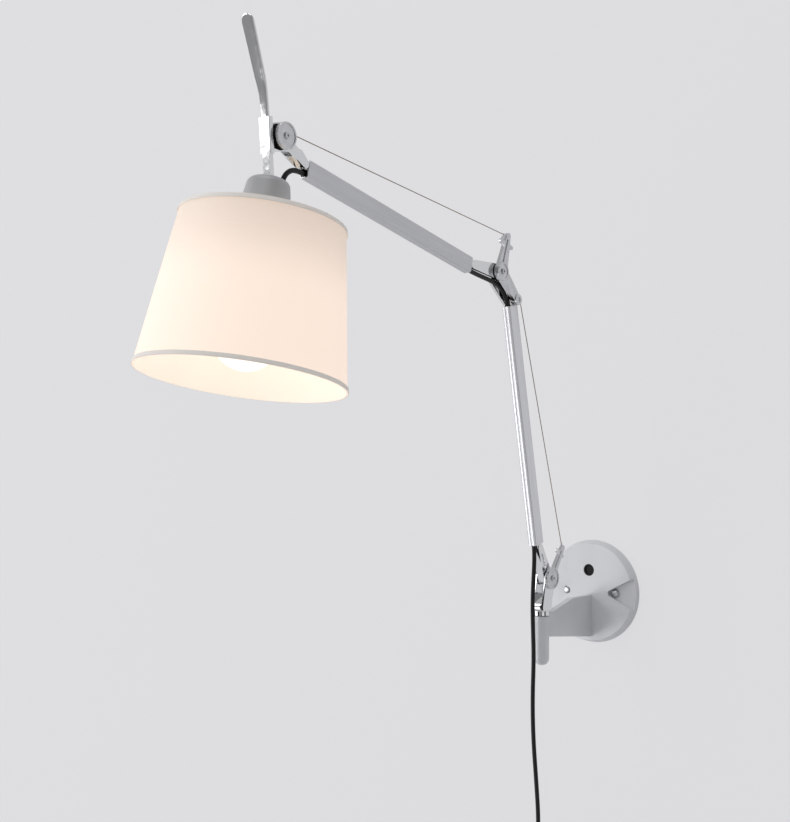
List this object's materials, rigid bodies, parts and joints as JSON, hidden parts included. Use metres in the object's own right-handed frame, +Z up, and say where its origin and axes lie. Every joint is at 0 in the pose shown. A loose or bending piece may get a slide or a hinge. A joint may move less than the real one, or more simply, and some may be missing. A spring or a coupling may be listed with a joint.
{
  "type": "articulating wall lamp",
  "caption": "Wall lamp with a round plate, a swivelling two-part arm balanced by steel cables, and a tapered fabric drum shade on a tilting head.",
  "frame": {"origin": "centre of the round wall plate's back face, which lies on the wall", "axes": "+Z up, +Y into the wall, so the lamp reaches towards -Y; +X to the right seen from the room"},
  "size_m": [0.1854, 0.679, 0.9874],
  "materials": {
    "satin_grey_paint": "satin silver-grey paint",
    "zinc_steel": "zinc-plated steel",
    "bright_screws": "polished steel screws",
    "polished_casting": "polished cast aluminium",
    "satin_casting": "satin cast aluminium",
    "anodised_tube": "matte silver anodised extrusion",
    "black_nylon": "black nylon",
    "white_thermoplastic": "white heat-proof plastic",
    "shade_fabric": "off-white laminated fabric",
    "trim_tape": "white edge tape",
    "opal_globe": "opal lit globe",
    "nickel_cap": "nickel-plated brass",
    "steel_cable": "thin stranded steel",
    "black_cord": "black flexible cord"
  },
  "bodies": {
    "wall_bracket": {"wall_plate": "satin_grey_paint", "mounting_strap": "zinc_steel", "wall_screws": "bright_screws", "hole_plug": "black_nylon", "bracket_arm": "satin_grey_paint", "swivel_bush": "black_nylon"},
    "swivel": {"swivel_fork": "polished_casting", "shoulder_lever": "satin_casting", "shoulder_screw": "bright_screws", "shoulder_washers": "black_nylon", "supply_cord": "black_cord", "cord_coil": "black_cord", "cord_tie": "black_nylon", "plug_body": "black_cord", "plug_pins": "nickel_cap"},
    "lower_arm": {"lower_foot": "polished_casting", "lower_tube": "anodised_tube", "elbow_fork": "polished_casting", "elbow_lever": "satin_casting", "elbow_screw": "bright_screws", "elbow_washers": "black_nylon", "cable_guide": "satin_casting", "lower_spring": "zinc_steel", "lower_lead": "black_cord", "lower_cable": "steel_cable", "cord_exit": "black_cord"},
    "upper_arm": {"upper_tail": "polished_casting", "upper_tube": "anodised_tube", "head_fork": "polished_casting", "knob_ring": "black_nylon", "head_knob": "satin_casting", "head_screw": "bright_screws", "upper_spring": "zinc_steel", "upper_lead": "black_cord", "upper_cable": "steel_cable", "elbow_lead": "black_cord"},
    "head": {"head_block": "polished_casting", "head_handle": "polished_casting", "socket_cup": "satin_grey_paint", "lamp_holder": "white_thermoplastic", "shade_carrier": "zinc_steel", "shade_nut": "white_thermoplastic", "shade_fabric": "shade_fabric", "shade_top_ring": "trim_tape", "shade_bottom_ring": "trim_tape", "bulb_globe": "opal_globe", "bulb_cap": "nickel_cap", "head_lead": "black_cord"}
  },
  "joints": [
    {"name": "arm_swivel", "type": "hinge", "parent": "wall_bracket", "child": "swivel", "pos_m": [0, -0.115, 0], "axis": [0, 0, 1], "range_deg": [-75, 75]},
    {"name": "shoulder", "type": "hinge", "parent": "swivel", "child": "lower_arm", "pos_m": [0, -0.1071, 0.0247], "axis": [1, 0, 0], "range_deg": [-10, 40], "deforming": ["lower_cable", "cord_exit"]},
    {"name": "elbow", "type": "hinge", "parent": "lower_arm", "child": "upper_arm", "pos_m": [0, -0.20514, 0.35875], "axis": [1, 0, 0], "range_deg": [-35, 25], "deforming": ["upper_cable", "elbow_lead"]},
    {"name": "head_tilt", "type": "hinge", "parent": "upper_arm", "child": "head", "pos_m": [0, -0.54176, 0.44711], "axis": [1, 0, 0], "range_deg": [-50, 20], "deforming": ["head_lead"]}
  ]
}
